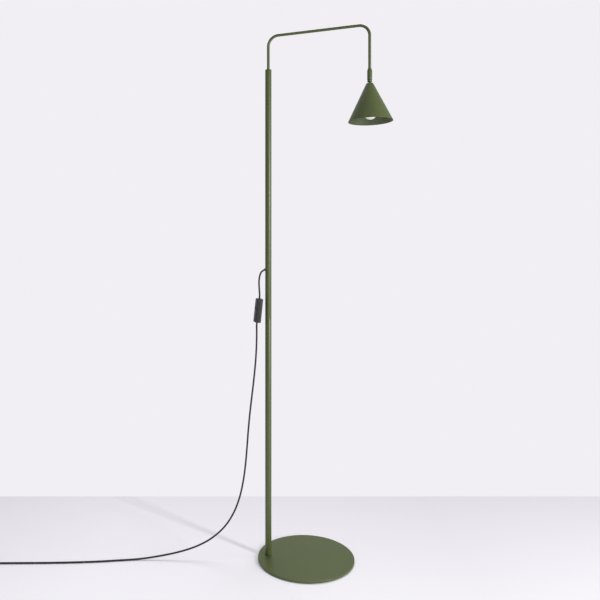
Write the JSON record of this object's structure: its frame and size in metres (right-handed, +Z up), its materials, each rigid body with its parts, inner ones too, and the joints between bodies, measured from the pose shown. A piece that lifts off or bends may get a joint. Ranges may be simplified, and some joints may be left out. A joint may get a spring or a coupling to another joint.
{
  "type": "floor lamp",
  "caption": "Slender floor lamp: round flat base, straight pole, swivelling bent arm, small cone shade on a ball joint, cord with a hand switch.",
  "frame": {"origin": "centre of the base's underside, on the floor", "axes": "+Z up along the pole, +X from the pole to the middle of the base, +Y to the left seen from above with +X ahead"},
  "size_m": [1.2083, 0.274, 1.5004],
  "materials": {
    "green_powder_coat": "semi-matt powder coat, reed green",
    "black_foam": "matt foam",
    "zinc_steel": "zinc plated",
    "natural_nylon": "moulded nylon",
    "black_plastic": "fine moulded texture",
    "black_cord": "smooth PVC sheath",
    "black_rocker": "satin",
    "brass": "turned or pressed",
    "nickel": "nickel plated",
    "white_plastic": "moulded thermoplastic",
    "opal_glass": "opal, satin"
  },
  "bodies": {
    "stand": {"base_plate": "green_powder_coat", "base_pad": "black_foam", "foot_screw": "zinc_steel", "pole_foot_plug": "zinc_steel", "lower_pole": "green_powder_coat", "pole_joiner": "zinc_steel", "upper_pole": "green_powder_coat", "pole_cap": "green_powder_coat", "friction_washer": "natural_nylon", "swivel_bush": "natural_nylon", "lead_in_pole": "black_cord", "lead_clamp": "natural_nylon", "cord_strain_relief": "black_plastic", "switch_front_cover": "black_plastic", "switch_back_cover": "black_plastic", "rocker_pin": "zinc_steel", "contact_bridge": "brass", "switch_terminal_1": "brass", "switch_terminal_2": "brass", "cord_clamp_1": "black_plastic", "cord_clamp_2": "black_plastic", "switch_screw_1": "zinc_steel", "switch_screw_2": "zinc_steel", "cord_upper": "black_cord", "cord_lower": "black_cord", "cord_coil": "black_cord", "cord_end": "black_cord", "coil_tie": "black_plastic", "plug_body": "black_plastic", "plug_pin_1": "nickel", "plug_pin_2": "nickel"},
    "arm": {"arm_tube": "green_powder_coat", "arm_stop_pin": "zinc_steel", "arm_end_ring": "brass", "lead_in_arm": "black_cord"},
    "swivel": {"swivel_sleeve": "green_powder_coat", "swivel_ring": "green_powder_coat", "ball_seat": "natural_nylon", "seat_spring": "zinc_steel"},
    "shade": {"ball_stud": "green_powder_coat", "shade_cone": "green_powder_coat", "shade_nut": "zinc_steel", "holder_cap": "white_plastic", "holder_nut": "zinc_steel", "holder_skirt": "white_plastic", "contact_block": "white_plastic", "screw_shell": "brass", "centre_contact": "brass", "lead_in_shade": "black_cord", "bulb_cap": "nickel", "bulb_contact": "nickel", "bulb_globe": "opal_glass"},
    "rocker": {"switch_rocker": "black_rocker"}
  },
  "joints": [
    {"name": "arm_swivel", "type": "hinge", "parent": "stand", "child": "arm", "pos_m": [-0.108, 0, 1.38], "axis": [0, 0, 1], "range_deg": [-146.5, 173.5]},
    {"name": "shade_turn", "type": "hinge", "parent": "arm", "child": "swivel", "pos_m": [0.17455, -0.06836, 1.36], "axis": [0, 0, 1], "range_deg": [-170, 170]},
    {"name": "shade_tilt", "type": "hinge", "parent": "swivel", "child": "shade", "pos_m": [0.17455, -0.06836, 1.3429], "axis": [-0.2351, -0.972, 0], "range_deg": [-25, 24]},
    {"name": "rocker_press", "type": "hinge", "parent": "stand", "child": "rocker", "pos_m": [-0.13851, -0.02038, 0.71038], "axis": [-0.309, 0.9511, 0], "range_deg": [0, 14]}
  ]
}
